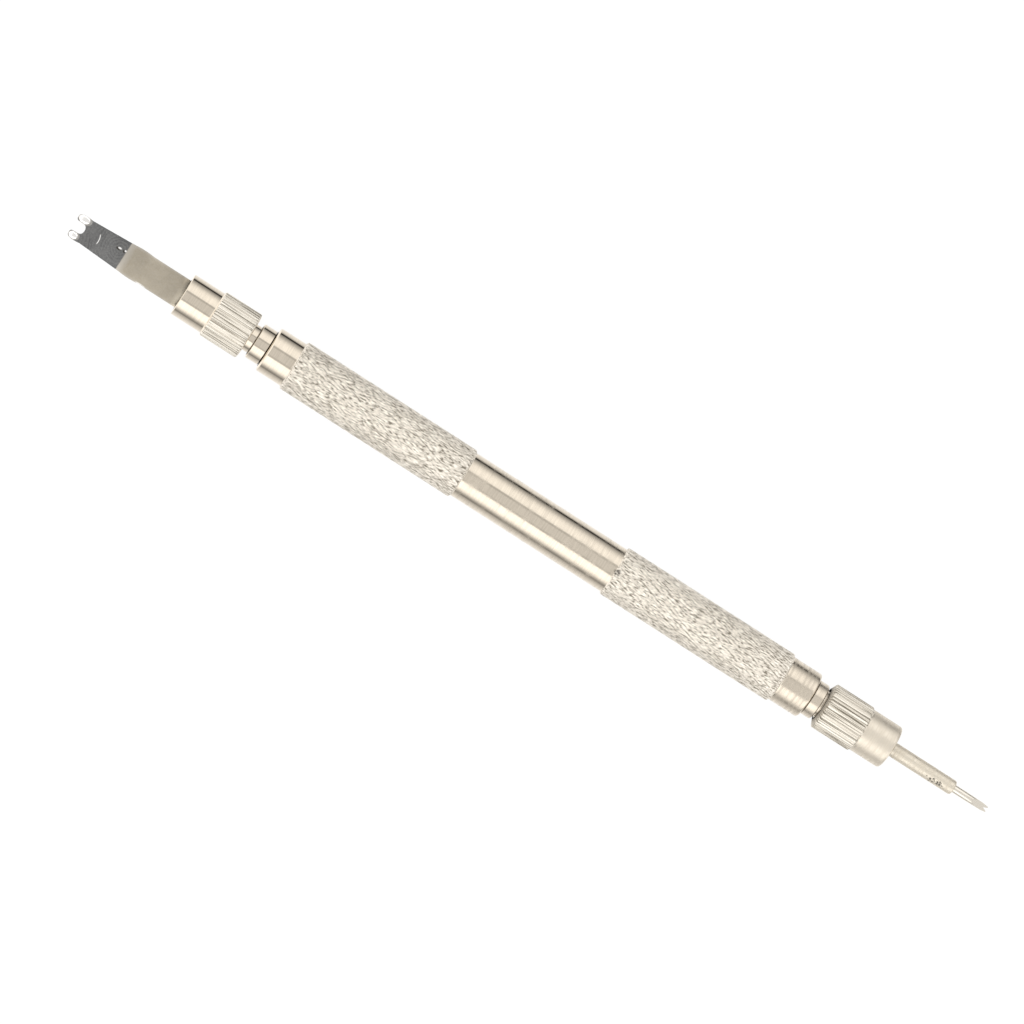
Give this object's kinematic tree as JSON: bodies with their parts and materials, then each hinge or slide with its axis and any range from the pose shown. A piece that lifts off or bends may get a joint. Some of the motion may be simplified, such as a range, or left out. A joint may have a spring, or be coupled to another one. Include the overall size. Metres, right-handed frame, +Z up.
{
  "type": "spring bar tool",
  "caption": "Spring bar tool: knurled metal handle with collet chucks at both ends, for a flat forked blade and a fine notched pin.",
  "frame": {"origin": "on the tool's axis, halfway between the fork's tip and the pin's tip", "axes": "+X along the tool towards the pin, +Z up out of the blade's flat face, with the tool lying on a bench"},
  "size_m": [0.14, 0.007, 0.007],
  "materials": {
    "knurled_nickel": "warm nickel plate over a cut diamond knurl, finely turned between",
    "bright_nickel": "bright warm nickel plate with fine turning marks",
    "satin_nickel": "slightly dulled nickel plate",
    "blade_steel": "satin plated blade, ground to bare grey steel at the fork",
    "pin_steel": "polished hardened steel",
    "spring_steel": "plain turned steel"
  },
  "bodies": {
    "root": {"handle": "knurled_nickel", "fork_stud": "bright_nickel", "pin_stud": "bright_nickel"},
    "fork_jaws": {"fork_collet": "spring_steel"},
    "fork_chuck_nut": {"fork_nut": "bright_nickel"},
    "fork_tip": {"fork_blade": "blade_steel", "fork_shank": "spring_steel"},
    "pin_jaws": {"pin_collet": "spring_steel"},
    "pin_chuck_nut": {"pin_nut": "satin_nickel"},
    "pin_tip": {"pin_rod": "bright_nickel", "fine_fork_pin": "pin_steel"}
  },
  "joints": [
    {"name": "fork_collet_slide", "type": "slide", "parent": "root", "child": "fork_jaws", "axis": [-1, 0, 0], "range_m": [0, 0.0045]},
    {"name": "fork_nut_screw", "type": "hinge", "parent": "fork_jaws", "child": "fork_chuck_nut", "pos_m": [-0.0484, 0, 0], "axis": [-1, 0, 0], "range_deg": [0, 3240]},
    {"name": "fork_tip_pull", "type": "slide", "parent": "fork_jaws", "child": "fork_tip", "axis": [-1, 0, 0], "range_m": [0, 0.0075]},
    {"name": "pin_collet_slide", "type": "slide", "parent": "root", "child": "pin_jaws", "axis": [1, 0, 0], "range_m": [0, 0.0045]},
    {"name": "pin_nut_screw", "type": "hinge", "parent": "pin_jaws", "child": "pin_chuck_nut", "pos_m": [0.0498, 0, 0], "axis": [1, 0, 0], "range_deg": [0, 3240]},
    {"name": "pin_tip_pull", "type": "slide", "parent": "pin_jaws", "child": "pin_tip", "axis": [1, 0, 0], "range_m": [0, 0.0075]}
  ],
  "couplings": [
    {"joint": "fork_nut_screw", "follows": "fork_collet_slide", "rad_per_m": 12566},
    {"joint": "pin_nut_screw", "follows": "pin_collet_slide", "rad_per_m": 12566}
  ]
}
